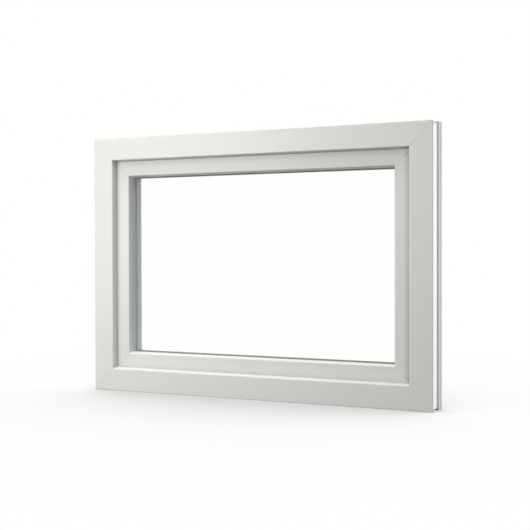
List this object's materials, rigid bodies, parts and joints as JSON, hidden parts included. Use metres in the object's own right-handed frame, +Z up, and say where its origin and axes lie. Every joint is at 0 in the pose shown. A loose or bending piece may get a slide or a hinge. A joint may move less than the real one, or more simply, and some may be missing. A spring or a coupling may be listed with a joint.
{
  "type": "pvc window",
  "caption": "White PVC window with one inward-opening sash in a rebated frame, double glazing, glazing beads, seals, a lever handle and two side hinges on the room side.",
  "frame": {"origin": "middle of the width and of the overall depth, at the underside of the sill", "axes": "+X along the width, to the right seen from outside; +Y towards the room, so the outside faces -Y; +Z up"},
  "size_m": [1.07, 0.1404, 0.75],
  "materials": {
    "frame_pvc": "smooth satin white PVC",
    "sash_pvc": "smooth satin white PVC",
    "bead_pvc": "smooth satin white PVC",
    "seal_rubber": "matt grey",
    "glass": "clear float glass",
    "spacer": "mill finish",
    "sealant": "matt black",
    "handle": "white powder coat",
    "hinge": "white powder coat"
  },
  "bodies": {
    "root": {"bead_seal_bottom": "seal_rubber", "bead_seal_left": "seal_rubber", "bead_seal_right": "seal_rubber", "bead_seal_top": "seal_rubber", "edge_sealant": "sealant", "frame_head": "frame_pvc", "frame_left_jamb": "frame_pvc", "frame_right_jamb": "frame_pvc", "frame_seal_bottom": "seal_rubber", "frame_seal_left": "seal_rubber", "frame_seal_right": "seal_rubber", "frame_seal_top": "seal_rubber", "frame_sill": "frame_pvc", "glazing_bead_bottom": "bead_pvc", "glazing_bead_left": "bead_pvc", "glazing_bead_right": "bead_pvc", "glazing_bead_top": "bead_pvc", "handle_lever": "handle", "handle_rose": "handle", "inner_pane": "glass", "lower_hinge_frame_leaf": "hinge", "lower_hinge_pin": "hinge", "lower_hinge_sash_leaf": "hinge", "outer_glazing_seal_bottom": "seal_rubber", "outer_glazing_seal_left": "seal_rubber", "outer_glazing_seal_right": "seal_rubber", "outer_glazing_seal_top": "seal_rubber", "outer_pane": "glass", "sash_bottom_rail": "sash_pvc", "sash_left_stile": "sash_pvc", "sash_right_stile": "sash_pvc", "sash_top_rail": "sash_pvc", "spacer_bar": "spacer", "upper_hinge_frame_leaf": "hinge", "upper_hinge_pin": "hinge", "upper_hinge_sash_leaf": "hinge", "wing_seal_bottom": "seal_rubber", "wing_seal_left": "seal_rubber", "wing_seal_right": "seal_rubber", "wing_seal_top": "seal_rubber"}
  },
  "joints": []
}
